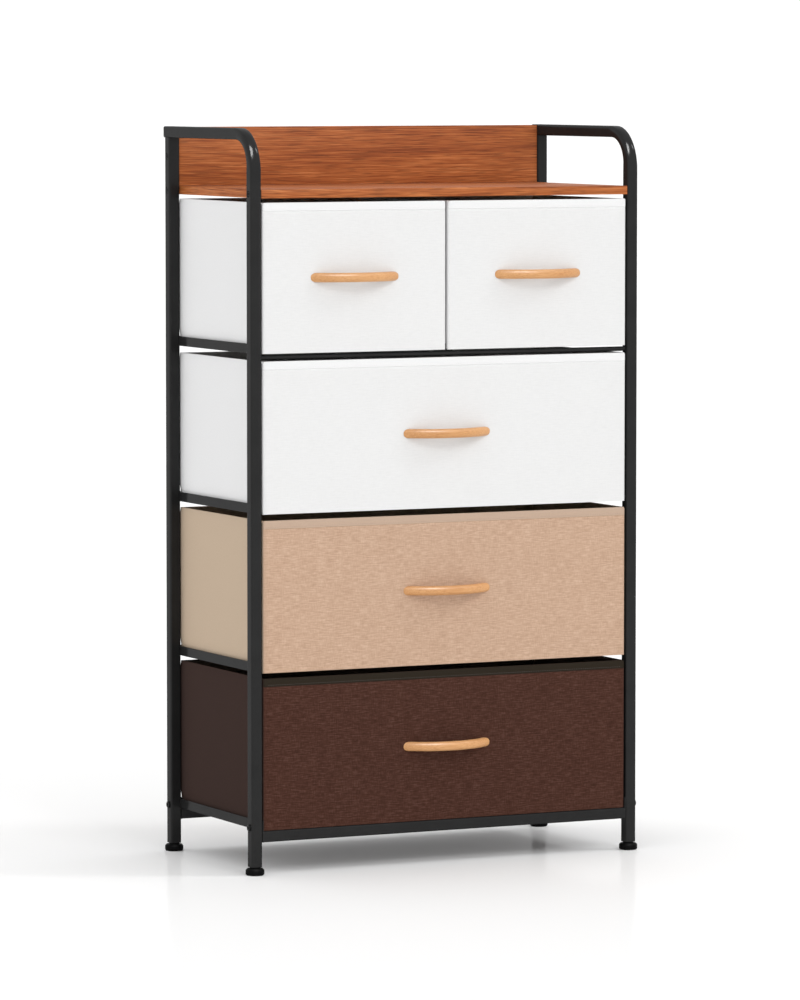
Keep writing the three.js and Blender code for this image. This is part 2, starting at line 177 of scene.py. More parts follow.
# Sizes of the screws, the bolts and the feet
BOARD_SCREW_HEAD = 0.0024
BOARD_SCREW_SHANK = 0.0022
PULL_SCREW_HEAD = 0.0022
PULL_SCREW_SHANK = 0.002
HOLE_MARGIN = 0.0004
HOLE_STEPS = 28
TURNED_STEPS = 32
SOCKET_RADIUS = 0.0022
SOCKET_DEPTH_SHARE = 0.7
RECESS_LENGTH = 0.0044
RECESS_WIDTH = 0.0011
RECESS_DEPTH = 0.0013
BOLT_HEAD = 0.0025
BOLT_SHANK = 0.003
DISC_HEIGHT = 0.0095
NUT_RADIUS = 0.0075
NUT_HEIGHT = 0.0017
STEM_RADIUS = 0.004
FOOT_STEPS = 48

# Heads as shares of their radius and height, from the crown out to the rim
SCREW_HEAD_SHAPE = ((0, 0), (0.55, 0), (0.86, 0.2), (1, 0.62), (1, 1))
BOLT_HEAD_SHAPE = ((0, -1), (0.72, -1), (0.9, -0.93), (1, -0.74), (1, 0))

# A foot's rounded edges: how far in from its rim, and how far from its base or its top
DISC_BASE_EDGE = ((0.0016, 0), (0.0002, 0.0014), (0, 0.0022))
DISC_TOP_EDGE = ((0, 0.0026), (0.0004, 0.0018), (0.0022, 0))

# The studio: its brightness, and its distant lights by direction, strength and width in degrees
WORLD_STRENGTH = 1.085
STUDIO_TONE = 0.87
STUDIO_REACH = 400
SUNS = {
    "key": ((0.06, -0.8, 0.6), 0.53, 17),
    "side": ((0.69, -0.34, 0.64), 0.47, 10),
    "glint": ((-0.06, -0.64, 0.77), 8.3, 30),
}

# The camera stands to the left of the front, a little above the top shelf, and looks slightly down
CAMERA_PLACE = Vector((-3.5164, -7.1321, 1.1145))
CAMERA_YAW = math.radians(26.2007)
CAMERA_DIP = math.radians(4.4256)
CAMERA_LENS = 203.235
SENSOR_WIDTH = 36
CAMERA_REACH = 1000


def corners_of(node):
    """The low and the high corner of a CAD node's box."""
    return [Vector(corner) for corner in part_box(node)]


# Meshes

def finish_piece(name, bm, materials, body, replaced=(), crease=SMOOTH_TURN):
    """Turns a bmesh into a piece that rides on a body, with one or more materials."""
    mesh = bpy.data.meshes.new(name)
    bm.to_mesh(mesh)
    bm.free()
    mesh.shade_smooth()
    mesh.set_sharp_from_angle(angle=crease)
    piece = bpy.data.objects.new(name, mesh)
    scene.collection.objects.link(piece)
    for material in materials:
        mesh.materials.append(material)
    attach(piece, body)
    if replaced:
        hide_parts(*replaced)


def merged_copy(node):
    """The CAD node's mesh with its loose triangles joined and its flat faces whole."""
    bm = bmesh.new()
    bm.from_mesh(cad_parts[node].data)
    bmesh.ops.remove_doubles(bm, verts=bm.verts, dist=NODE_MERGE_GAP)
    bmesh.ops.dissolve_limit(bm, angle_limit=ONE_FACE_TURN, verts=bm.verts, edges=bm.edges)
    return bm


def bevel_edges(bm, edges, width, segments=2):
    bmesh.ops.bevel(
        bm, geom=edges, offset=width, offset_type="OFFSET", affect="EDGES",
        segments=segments, profile=0.5, material=-1, clamp_overlap=True,
    )


def softened(node, width=SOFT_EDGE, segments=2):
    """The CAD node's own shape with its sharp edges rounded."""
    bm = merged_copy(node)
    closed = [e for e in bm.edges if len(e.link_faces) == 2]
    sharp = [e for e in closed if e.calc_face_angle() > CORNER_TURN]
    bevel_edges(bm, sharp, width, segments)
    return bm


def rounded_polygon(bm, centre, across, along, width, height, corner, segments=5):
    """A flat polygon with round corners, spanned by two directions."""
    across, along = Vector(across) * width / 2, Vector(along) * height / 2
    signs = ((-1, -1), (1, -1), (1, 1), (-1, 1))
    corners = [centre + across * right + along * up for right, up in signs]
    face = bm.faces.new([bm.verts.new(point) for point in corners])
    bmesh.ops.bevel(
        bm, geom=list(face.verts), offset=corner, offset_type="OFFSET", affect="VERTICES",
        segments=segments, profile=0.5, material=-1,
    )
    bm.faces.ensure_lookup_table()
    return bm.faces[-1]


def extruded(bm, face, shift):
    made = bmesh.ops.extrude_face_region(bm, geom=[face])["geom"]
    bmesh.ops.translate(bm, verts=[v for v in made if isinstance(v, bmesh.types.BMVert)], vec=shift)
    return next(f for f in made if isinstance(f, bmesh.types.BMFace))


def lathe(profile, steps=TURNED_STEPS):
    """A closed turned form about Z, from radius and height pairs that start and end on the axis."""
    bm = bmesh.new()
    verts = [bm.verts.new((radius, 0, height)) for radius, height in profile]
    edges = [bm.edges.new(pair) for pair in zip(verts, verts[1:])]
    bmesh.ops.spin(
        bm, geom=verts + edges, cent=(0, 0, 0), axis=UP, dvec=(0, 0, 0),
        angle=math.tau, steps=steps, use_merge=True, use_duplicate=False,
    )
    bmesh.ops.remove_doubles(bm, verts=bm.verts, dist=MERGE_GAP)
    bmesh.ops.recalc_face_normals(bm, faces=bm.faces)
    return bm


def carved(bm, cutters):
    """The solid less its cutters, all as bmeshes."""
    made = []
    for index, part in enumerate([bm, *cutters]):
        mesh = bpy.data.meshes.new(f"carving_{index}")
        part.to_mesh(mesh)
        part.free()
        made.append(bpy.data.objects.new(f"carving_{index}", mesh))
        scene.collection.objects.link(made[-1])
    for cutter in made[1:]:
        cut = made[0].modifiers.new("cut", "BOOLEAN")
        cut.operation, cut.solver, cut.object = "DIFFERENCE", "EXACT", cutter
    depsgraph = bpy.context.evaluated_depsgraph_get()
    result = bmesh.new()
    result.from_mesh(made[0].evaluated_get(depsgraph).to_mesh())
    for helper in made:
        mesh = helper.data
        bpy.data.objects.remove(helper)
        bpy.data.meshes.remove(mesh)
    return result


def moved(template, matrix):
    bm = template.copy()
    bm.transform(matrix)
    return bm


# Materials

def add_node(tree, kind, inputs=None, **settings):
    made = tree.nodes.new(kind)
    for key, value in settings.items():
        setattr(made, key, value)
    for key, value in (inputs or {}).items():
        if isinstance(value, bpy.types.NodeSocket):
            tree.links.new(value, made.inputs[key])
        else:
            made.inputs[key].default_value = value
    return made


def maths(tree, operation, first, second=0.0):
    return add_node(tree, "ShaderNodeMath", {0: first, 1: second}, operation=operation).outputs[0]


def weighted(tree, *parts):
    """The sum of some values, each times its weight."""
    products = [maths(tree, "MULTIPLY", value, weight) for value, weight in parts]
    total = products[0]
    for product in products[1:]:
        total = maths(tree, "ADD", total, product)
    return total


def new_group(name, inputs, outputs):
    tree = bpy.data.node_groups.new(name, "ShaderNodeTree")
    for label, kind in inputs.items():
        tree.interface.new_socket(label, in_out="INPUT", socket_type=kind)
    for label, kind in outputs.items():
        tree.interface.new_socket(label, in_out="OUTPUT", socket_type=kind)
    return tree, tree.nodes.new("NodeGroupInput"), tree.nodes.new("NodeGroupOutput")


def use_group(tree, group, inputs):
    return add_node(tree, "ShaderNodeGroup", inputs, node_tree=group)


def stretched_noise(tree, place, scale, detail=2.0, roughness=0.5):
    mapping = add_node(tree, "ShaderNodeMapping", {"Vector": place, "Scale": scale})
    texture = add_node(tree, "ShaderNodeTexNoise", {
        "Vector": mapping.outputs[0], "Scale": 1.0, "Detail": detail, "Roughness": roughness,
    })
    return texture.outputs["Fac"]


def linen_group():
    """A plain weave with uneven threads: its height, its slubs and its broad mottling."""
    tree, source, sink = new_group(
        "linen", {"Cloth": "NodeSocketVector", "Pitch": "NodeSocketFloat"},
        {"Height": "NodeSocketFloat", "Slub": "NodeSocketFloat", "Mottle": "NodeSocketFloat"},
    )
    cloth, pitch = source.outputs["Cloth"], source.outputs["Pitch"]
    across_slub = stretched_noise(tree, cloth, ACROSS_SLUB, detail=2.5, roughness=0.65)
    upward_slub = stretched_noise(tree, cloth, UPWARD_SLUB, detail=2.5, roughness=0.65)
    mottle = stretched_noise(tree, cloth, CLOTH_MOTTLE, detail=3.0, roughness=0.6)
    split = add_node(tree, "ShaderNodeSeparateXYZ", {0: cloth})
    waves, cells = [], []
    for axis, slub in ((0, upward_slub), (1, across_slub)):
        turns = maths(tree, "DIVIDE", split.outputs[axis], pitch)
        uneven = maths(tree, "ADD", turns, maths(tree, "MULTIPLY", slub, 0.5))
        wave = maths(tree, "ABSOLUTE", maths(tree, "SINE", maths(tree, "MULTIPLY", uneven, math.pi)))
        waves.append(wave)
        cells.append(maths(tree, "FLOOR", uneven))
    parity = maths(tree, "ABSOLUTE", maths(tree, "MODULO", maths(tree, "ADD", *cells), 2.0))
    threads = {0: parity, 2: waves[0], 3: waves[1]}
    weave = add_node(tree, "ShaderNodeMix", threads, data_type="FLOAT").outputs[0]
    slub = weighted(tree, (across_slub, 0.66), (upward_slub, 0.34))
    height = maths(tree, "ADD", maths(tree, "MULTIPLY", weave, 0.55), slub)
    tree.links.new(height, sink.inputs["Height"])
    tree.links.new(slub, sink.inputs["Slub"])
    tree.links.new(mottle, sink.inputs["Mottle"])
    return tree


def grain_group():
    """Long wood grain along X: broad bands, fine pores and their height."""
    tree, source, sink = new_group(
        "grain", {"Place": "NodeSocketVector", "Stretch": "NodeSocketFloat"},
        {"Band": "NodeSocketFloat", "Pore": "NodeSocketFloat", "Height": "NodeSocketFloat"},
    )
    shorter = add_node(tree, "ShaderNodeCombineXYZ", {0: source.outputs["Stretch"], 1: 1.0, 2: 1.0})
    scaled = {0: source.outputs["Place"], 1: shorter.outputs[0]}
    straight = add_node(tree, "ShaderNodeVectorMath", scaled, operation="MULTIPLY").outputs[0]
    drift = stretched_noise(tree, straight, GRAIN_WANDER, detail=0.0)
    shift = maths(tree, "MULTIPLY", maths(tree, "SUBTRACT", drift, 0.5), GRAIN_DRIFT)
    sideways = add_node(tree, "ShaderNodeCombineXYZ", {1: shift, 2: shift}).outputs[0]
    place = add_node(tree, "ShaderNodeVectorMath", {0: straight, 1: sideways}).outputs[0]
    broad = stretched_noise(tree, place, GRAIN_BROAD)
    middling = stretched_noise(tree, place, GRAIN_MIDDLING)
    streak = stretched_noise(tree, place, GRAIN_STREAK, roughness=0.6)
    pore = stretched_noise(tree, place, GRAIN_PORE, detail=1.0)
    band = weighted(tree, (broad, 0.3), (middling, 0.13), (streak, 0.57))
    height = weighted(tree, (pore, 0.7), (streak, 0.3))
    tree.links.new(band, sink.inputs["Band"])
    tree.links.new(pore, sink.inputs["Pore"])
    tree.links.new(height, sink.inputs["Height"])
    return tree


def speckle_group():
    """Fine orange-peel texture with a broader unevenness, for paint and moulded plastic."""
    tree, source, sink = new_group(
        "speckle", {"Place": "NodeSocketVector", "Grain": "NodeSocketFloat"},
        {"Height": "NodeSocketFloat", "Uneven": "NodeSocketFloat"},
    )
    fine = add_node(tree, "ShaderNodeTexNoise", {
        "Vector": source.outputs["Place"], "Scale": source.outputs["Grain"], "Detail": 2.0,
    })
    broad = stretched_noise(tree, source.outputs["Place"], PAINT_MOTTLE, detail=4.0, roughness=0.65)
    tree.links.new(fine.outputs["Fac"], sink.inputs["Height"])
    tree.links.new(broad, sink.inputs["Uneven"])
    return tree


def felt_group():
    """Matted fibres pressed together by a grid of dots."""
    tree, source, sink = new_group(
        "felt", {"Cloth": "NodeSocketVector", "Pitch": "NodeSocketFloat"},
        {"Fibre": "NodeSocketFloat", "Dot": "NodeSocketFloat", "Height": "NodeSocketFloat"},
    )
    cloth = source.outputs["Cloth"]
    split = add_node(tree, "ShaderNodeSeparateXYZ", {0: cloth})
    waves = []
    for axis in (0, 1):
        turns = maths(tree, "DIVIDE", split.outputs[axis], source.outputs["Pitch"])
        waves.append(maths(tree, "SINE", maths(tree, "MULTIPLY", turns, math.pi)))
    dot = add_node(tree, "ShaderNodeMapRange", {
        "Value": maths(tree, "MULTIPLY", *waves), "From Min": 0.45, "From Max": 0.8,
    }).outputs[0]
    fibre = stretched_noise(tree, cloth, FELT_FIBRE, detail=4.0, roughness=0.7)
    tree.links.new(fibre, sink.inputs["Fibre"])
    tree.links.new(dot, sink.inputs["Dot"])
    tree.links.new(maths(tree, "SUBTRACT", fibre, dot), sink.inputs["Height"])
    return tree


LINEN, FELT, GRAIN, SPECKLE = linen_group(), felt_group(), grain_group(), speckle_group()


def new_material(name):
    material = bpy.data.materials.new(name)
    material.use_nodes = True
    return material, material.node_tree, material.node_tree.nodes["Principled BSDF"]


def ramp(tree, factor, stops):
    made = add_node(tree, "ShaderNodeValToRGB", {0: factor})
    while len(made.color_ramp.elements) < len(stops):
        made.color_ramp.elements.new(0.5)
    for element, (position, color) in zip(made.color_ramp.elements, stops):
        element.position, element.color = position, (*color, 1)
    return made.outputs[0]


def span(tree, factor, between, to):
    """A value that runs from one limit to another while its factor runs between two."""
    inputs = {"Value": factor, "From Min": between[0], "From Max": between[1]}
    inputs |= {"To Min": to[0], "To Max": to[1]}
    return add_node(tree, "ShaderNodeMapRange", inputs).outputs[0]


def bump(tree, shader, height, strength, distance):
    inputs = {"Height": height, "Strength": strength, "Distance": distance}
    made = add_node(tree, "ShaderNodeBump", inputs)
    tree.links.new(made.outputs[0], shader.inputs["Normal"])


def set_inputs(shader, values):
    for label, value in values.items():
        shader.inputs[label].default_value = value


def cloth_material(name, dark, middle, light):
    """Linen whose slubs run between a dark and a light tone."""
    material, tree, shader = new_material(name)
    cloth = add_node(tree, "ShaderNodeUVMap", uv_map="flat").outputs[0]
    linen = use_group(tree, LINEN, {"Cloth": cloth, "Pitch": WEAVE_PITCH})
    slub, mottle = linen.outputs["Slub"], linen.outputs["Mottle"]
    tone = weighted(tree, (slub, 0.9), (mottle, 0.1))
    stops = [(0.5 - CLOTH_CONTRAST, dark), (0.5, middle), (0.5 + CLOTH_CONTRAST, light)]
    tree.links.new(ramp(tree, tone, stops), shader.inputs["Base Color"])
    roughness = span(tree, slub, between=(0.3, 0.7), to=(0.95, 0.85))
    tree.links.new(roughness, shader.inputs["Roughness"])
    set_inputs(shader, {"Sheen Weight": 0.03, "Sheen Roughness": 0.5, "Specular IOR Level": 0.0})
    bump(tree, shader, linen.outputs["Height"], strength=0.5, distance=0.0004)
    return material


def felt_material(name, color, depth, strength=0.3):
    """Plain matted cloth, a little darker in its pressed dots, by a depth of tone."""
    material, tree, shader = new_material(name)
    cloth = add_node(tree, "ShaderNodeUVMap", uv_map="flat").outputs[0]
    felt = use_group(tree, FELT, {"Cloth": cloth, "Pitch": FELT_PITCH})
    fibre, dot = felt.outputs["Fibre"], felt.outputs["Dot"]
    tone = maths(tree, "SUBTRACT", fibre, maths(tree, "MULTIPLY", dot, 0.1))
    shares = ((0.25, -1), (0.5, 0), (0.75, 0.6))
    stops = [(place, [c * (1 + depth * share) for c in color]) for place, share in shares]
    tree.links.new(ramp(tree, tone, stops), shader.inputs["Base Color"])
    roughness = span(tree, fibre, between=(0.3, 0.7), to=(0.96, 0.88))
    tree.links.new(roughness, shader.inputs["Roughness"])
    set_inputs(shader, {"Specular IOR Level": 0.0})
    bump(tree, shader, felt.outputs["Height"], strength, distance=0.0002)
    return material


def thread_material(name, color):
    """Twisted sewing thread."""
    material, tree, shader = new_material(name)
    place = add_node(tree, "ShaderNodeTexCoord").outputs["Object"]
    twist = stretched_noise(tree, place, THREAD_TWIST, detail=1.0)
    shade = ramp(tree, twist, [(0.3, [c * 0.82 for c in color]), (0.7, color)])
    tree.links.new(shade, shader.inputs["Base Color"])
    set_inputs(shader, {"Roughness": 0.7})
    bump(tree, shader, twist, strength=0.4, distance=0.0002)
    return material


def board_material():
    """Red-brown printed wood grain under a satin film."""
    material, tree, shader = new_material("board")
    place = add_node(tree, "ShaderNodeUVMap", uv_map="flat").outputs[0]
    grain = use_group(tree, GRAIN, {"Place": place, "Stretch": 1.0})
    band = grain.outputs["Band"]
    color = ramp(tree, band, [
        (0.3845, (0.197, 0.0433, 0.0088)), (0.456, (0.305, 0.0778, 0.0167)),
        (0.533, (0.383, 0.1084, 0.0256)), (0.6155, (0.54, 0.187, 0.058)),
    ])
    pores = span(tree, grain.outputs["Pore"], between=(0.36, 0.46), to=(0.72, 1.02))
    tint = add_node(tree, "ShaderNodeCombineColor", {0: pores, 1: pores, 2: pores}).outputs[0]
    layers = {0: 1.0, 6: color, 7: tint}
    shaded = add_node(tree, "ShaderNodeMix", layers, data_type="RGBA", blend_type="MULTIPLY")
    tree.links.new(shaded.outputs[2], shader.inputs["Base Color"])
    roughness = span(tree, band, between=(0.38, 0.62), to=(0.62, 0.52))
    tree.links.new(roughness, shader.inputs["Roughness"])
    set_inputs(shader, {"Specular IOR Level": 0.15})
    bump(tree, shader, grain.outputs["Height"], strength=0.25, distance=0.0002)
    return material


def pull_material():
    """Light close-grained wood under a clear satin lacquer."""
    material, tree, shader = new_material("pull_wood")
    place = add_node(tree, "ShaderNodeTexCoord").outputs["Object"]
    grain = use_group(tree, GRAIN, {"Place": place, "Stretch": 2.4})
    color = ramp(tree, grain.outputs["Band"], [
        (0.36, (0.49, 0.225, 0.082)), (0.5, (0.58, 0.295, 0.12)), (0.64, (0.66, 0.36, 0.16)),
    ])
    tree.links.new(color, shader.inputs["Base Color"])
    roughness = span(tree, grain.outputs["Pore"], between=(0.3, 0.7), to=(0.42, 0.34))
    tree.links.new(roughness, shader.inputs["Roughness"])
    set_inputs(shader, {"Specular IOR Level": 0.17, "Coat Weight": 0.2, "Coat Roughness": 0.42})
    bump(tree, shader, grain.outputs["Height"], strength=0.08, distance=0.0001)
    return material


def painted_material(name, tones, roughness, grain, relief, level, coat=0.0):
    """A black finish with a fine relief under a clear film, its tones and roughness uneven."""
    material, tree, shader = new_material(name)
    place = add_node(tree, "ShaderNodeTexCoord").outputs["Object"]
    speckle = use_group(tree, SPECKLE, {"Place": place, "Grain": grain})
    uneven, limits = speckle.outputs["Uneven"], (0.35, 0.65)
    color = ramp(tree, uneven, [(place, (tone,) * 3) for place, tone in zip(limits, tones)])
    tree.links.new(color, shader.inputs["Base Color"])
    tree.links.new(span(tree, uneven, limits, roughness), shader.inputs["Roughness"])
    set_inputs(shader, {
        "Specular IOR Level": level, "Coat Weight": coat, "Coat Roughness": COAT_ROUGHNESS,
    })
    bump(tree, shader, speckle.outputs["Height"], strength=0.35, distance=relief)
    return material


def by_hue(prefix, make, shades):
    """One material for each hue of the drawers, under the name of its slot."""
    return {f"{hue}_fabric": make(f"{hue}_{prefix}", *shade) for hue, shade in shades.items()}


POWDER_COAT = painted_material(
    "powder_coat", (0.0149, 0.018), (0.4, 0.5), grain=1400.0, relief=0.00002, level=0.0, coat=0.25,
)
BLACK_OXIDE = painted_material(
    "black_oxide", (0.004, 0.007), (0.25, 0.35), grain=2600.0, relief=0.00004, level=0.1, coat=0.05,
)
MOULDED_BLACK = painted_material(
    "moulded_black", (0.003, 0.005), (0.45, 0.55), grain=2200.0, relief=0.00008, level=0.03,
)
BOARD = board_material()
PULL_WOOD = pull_material()
BASE_FELT = felt_material("base_felt", (0.12, 0.11, 0.1), depth=0.35, strength=0.5)
CLOTH = by_hue("fabric", cloth_material, {
    "white": ((0.699, 0.699, 0.696), (0.722, 0.722, 0.719), (0.742, 0.742, 0.739)),
    "tan": ((0.42, 0.275, 0.188), (0.505, 0.34, 0.24), (0.6, 0.42, 0.31)),
    "brown": ((0.0417, 0.0181, 0.0121), (0.0627, 0.0271, 0.0191), (0.0965, 0.047, 0.0355)),
})
# The felt of the walls, rim and floors: each hue's own tone, made lighter and greyer than the band of
# the same fabric, as a painted sheen of the side walls
FELT_WITH_PAINTED_SHEEN = by_hue("felt", felt_material, {
    "white": ((0.755, 0.755, 0.757), 0.03),
    "tan": ((0.51, 0.4, 0.297), 0.05),
    "brown": ((0.048, 0.031, 0.027), 0.12),
})
BAND = by_hue("band", felt_material, {
    "white": ((0.742, 0.742, 0.742), 0.03),
    "tan": ((0.468, 0.343, 0.26), 0.06),
    "brown": ((0.026, 0.0205, 0.0148), 0.12),
})
LINING = by_hue("lining", felt_material, {
    "white": ((0.5, 0.48, 0.46), 0.12, 0.5),
    "tan": ((0.32, 0.23, 0.155), 0.12, 0.5),
    "brown": ((0.1, 0.078, 0.062), 0.12, 0.5),
})
THREAD = by_hue("thread", thread_material, {
    "white": ((0.76, 0.76, 0.76),),
    "tan": ((0.42, 0.305, 0.225),),
    "brown": ((0.034, 0.022, 0.017),),
})


# Frame

def tube_section(bm, foot, width, depth):
    """A tube's outline with round corners, its flats cut in strips so that they shade flat."""
    face = rounded_polygon(bm, foot, (1, 0, 0), (0, 1, 0), width, depth, TUBE_CORNER)
    flats = [e for e in face.edges if e.calc_length() > width / 2]
    bmesh.ops.subdivide_edges(bm, edges=flats, cuts=TUBE_STRIPS)
    bm.faces.ensure_lookup_table()
    return bm.faces[0]


def side_tube(side):
    """A front post that bends back into its arm, drawn from one square tube."""
    low, high = corners_of(f"{side}_side_tube")
    size = high.x - low.x
    start = Vector(((low.x + high.x) / 2, low.y + size / 2, low.z))
    bend_height = high.z - size / 2 - BEND_RADIUS
    bm = bmesh.new()
    face = tube_section(bm, start, size, size)
    face = extruded(bm, face, UP * (bend_height - low.z - TUBE_SUPPORT))
    face = extruded(bm, face, UP * TUBE_SUPPORT)
    pivot = Vector((start.x, start.y + BEND_RADIUS, bend_height))
    turned = bmesh.ops.spin(
        bm, geom=[face, *face.edges, *face.verts], cent=pivot, axis=(1, 0, 0), dvec=(0, 0, 0),
        angle=-math.pi / 2, steps=BEND_STEPS, use_merge=False, use_duplicate=False,
    )["geom_last"]
    face = next(f for f in turned if isinstance(f, bmesh.types.BMFace))
    arm = high.y - start.y - BEND_RADIUS
    for length in (TUBE_SUPPORT, arm - TUBE_SUPPORT * 2, TUBE_SUPPORT):
        face = extruded(bm, face, Vector((0, length, 0)))
    bevel_edges(bm, list(face.edges), SOFT_EDGE)
    round_the_bend(bm, pivot, size / 2)
    bmesh.ops.recalc_face_normals(bm, faces=bm.faces)
    return bm


def round_the_bend(bm, pivot, half):
    """Draws the square section towards a slightly larger circle, most in the middle of the bend."""
    for vert in bm.verts:
        spoke = vert.co - pivot
        spoke.x = 0
        angle = math.atan2(spoke.z, -spoke.y)
        if not 0 < angle < math.pi / 2:
            continue
        centre = pivot + spoke.normalized() * BEND_RADIUS
        arm = vert.co - centre
        share = BEND_ROUNDING_SHARE * math.sin(angle * 2) ** BEND_ROUNDING_POWER
        vert.co = centre + arm * (1 - share + share * BEND_SWELL_SHARE * half / arm.length)


def straight_post(node):
    """A rear post, with its upper end sunk into the arm so that the weld shows no seam."""
    low, high = corners_of(node)
    bm = bmesh.new()
    foot = Vector(((low.x + high.x) / 2, (low.y + high.y) / 2, low.z))
    face = tube_section(bm, foot, high.x - low.x, high.y - low.y)
    extruded(bm, face, UP * (high.z - low.z + WELD_DEPTH))
    bmesh.ops.recalc_face_normals(bm, faces=bm.faces)
    return bm


def bar_along_x(centre, radius, length, steps):
    bm = bmesh.new()
    bmesh.ops.create_cone(
        bm, cap_ends=True, segments=steps, radius1=radius, radius2=radius, depth=length,
    )
    bm.transform(Matrix.Translation(centre) @ Matrix.Rotation(math.pi / 2, 4, "Y"))
    return bm


def with_screw_holes(bm, screws):
    """Opens a hole round each screw's head in the tube's outer wall."""
    cutters = []
    for screw in screws:
        low, high = corners_of(screw)
        outer = low.x if low.x < 0 else high.x
        centre = Vector((outer, (low.y + high.y) / 2, (low.z + high.z) / 2))
        radius = (high.z - low.z) / 2
        cutters.append(bar_along_x(centre, radius + HOLE_MARGIN, radius, HOLE_STEPS))
    return carved(bm, cutters)


def steel_piece(name, bm, node, crease=FLAT_TURN):
    finish_piece(name, bm, [POWDER_COAT], "frame", [node], crease)


def frame_pieces():
    for side in SIDES:
        tube = with_screw_holes(side_tube(side), [f"front_{side}_shelf_screw"])
        steel_piece(f"bent_tube_{side}", tube, f"{side}_side_tube", SMOOTH_TURN)
        screws = [f"rear_{side}_shelf_screw", f"{side}_back_board_screw"]
        post = with_screw_holes(straight_post(f"{side}_rear_post"), screws)
        steel_piece(f"back_post_{side}", post, f"{side}_rear_post", SMOOTH_TURN)
        for tier in TIERS:
            node = f"{tier}_rail_{side}"
            steel_piece(f"angle_{tier}_{side}", softened(node), node)
    for end in ENDS:
        node = f"{end}_bottom_rail"
        steel_piece(f"bottom_tube_{end}", softened(node), node)
    for tier in TIERS[1:]:
        node = f"{tier}_rear_bar"
        steel_piece(f"stop_bar_{tier}", softened(node, BAR_EDGE), node)
    steel_piece("middle_slide", softened("centre_rail", CENTRE_RAIL_EDGE), "centre_rail")
    low, high = corners_of("front_cross_bar")
    bar = bar_along_x((low + high) / 2, (high.z - low.z) / 2, high.x - low.x, ROUND_BAR_STEPS)
    steel_piece("cross_tube", bar, "front_cross_bar", SMOOTH_TURN)


# Boards

def board_pieces():
    for node, name in (("top_shelf", "shelf_board"), ("back_board", "upright_board")):
        bm = softened(node, BOARD_EDGE, segments=3)
        add_flat_map(bm)
        finish_piece(name, bm, [BOARD], "frame", [node], FLAT_TURN)


# Fasteners and feet

def recessed_screw(radius, height, shank_radius, length):
    """A pan-head screw along +Z with its head's top at zero and a cross recess."""
    head = [(radius * across, height * down) for across, down in SCREW_HEAD_SHAPE]
    shank = [(shank_radius, height), (shank_radius, length - shank_radius), (0, length)]
    cutters = []
    for size in ((RECESS_LENGTH, RECESS_WIDTH), (RECESS_WIDTH, RECESS_LENGTH)):
        blade = bmesh.new()
        bmesh.ops.create_cube(blade, size=1)
        bmesh.ops.scale(blade, vec=(*size, RECESS_DEPTH * 2), verts=blade.verts)
        cutters.append(blade)
    return carved(lathe(head + shank), cutters)


def socket_bolt(radius, height, shank_radius, length):
    """A cap bolt along +Z, its round-edged head below zero, with a six-sided socket."""
    head = [(radius * across, height * up) for across, up in BOLT_HEAD_SHAPE]
    shank = [(shank_radius, 0), (shank_radius, length), (0, length)]
    socket = bmesh.new()
    bmesh.ops.create_cone(
        socket, cap_ends=True, segments=6, radius1=SOCKET_RADIUS, radius2=SOCKET_RADIUS,
        depth=height * SOCKET_DEPTH_SHARE * 2,
    )
    bmesh.ops.translate(socket, verts=socket.verts, vec=(0, 0, -height))
    return carved(lathe(head + shank), [socket])


def pointed(node, template, direction):
    """Places a copy of a fastener so that its tip points along a direction, on its node's place."""
    low, high = corners_of(node)
    reach = Vector([abs(c) for c in direction]).dot(high - low) / 2
    turn = UP.rotation_difference(direction).to_matrix().to_4x4()
    return moved(template, Matrix.Translation((low + high) / 2 - direction * reach) @ turn)


def black_fastener(name, bm, body, node):
    finish_piece(name, bm, [BLACK_OXIDE], body, [node])


def fastener_pieces():
    low, high = corners_of("front_left_shelf_screw")
    radius, length = (high.z - low.z) / 2, high.x - low.x
    board_screw = recessed_screw(radius, BOARD_SCREW_HEAD, BOARD_SCREW_SHANK, length)
    low, high = corners_of("lowest_pull_screw_left")
    radius, length = (high.z - low.z) / 2, high.y - low.y
    pull_screw = recessed_screw(radius, PULL_SCREW_HEAD, PULL_SCREW_SHANK, length)
    low, high = corners_of("front_left_frame_bolt")
    radius, length = (high.z - low.z) / 2, high.x - low.x
    bolt = socket_bolt(radius, BOLT_HEAD, BOLT_SHANK, length - BOLT_HEAD)
    for side, sign in SIDES.items():
        inwards = Vector((-sign, 0, 0))
        for end in ENDS:
            node = f"{end}_{side}_shelf_screw"
            made = pointed(node, board_screw, inwards)
            black_fastener(f"shelf_fixing_{end}_{side}", made, "frame", node)
            node = f"{end}_{side}_frame_bolt"
            made = pointed(node, bolt, inwards)
            bmesh.ops.translate(made, verts=made.verts, vec=inwards * BOLT_HEAD)
            black_fastener(f"cap_bolt_{end}_{side}", made, "frame", node)
        node = f"{side}_back_board_screw"
        made = pointed(node, board_screw, inwards)
        black_fastener(f"board_fixing_{side}", made, "frame", node)
        for drawer in DRAWERS:
            node = f"{drawer}_pull_screw_{side}"
            made = pointed(node, pull_screw, Vector((0, -1, 0)))
            black_fastener(f"pull_fixing_{drawer}_{side}", made, f"{drawer}_drawer", node)
    for template in (board_screw, pull_screw, bolt):
        template.free()


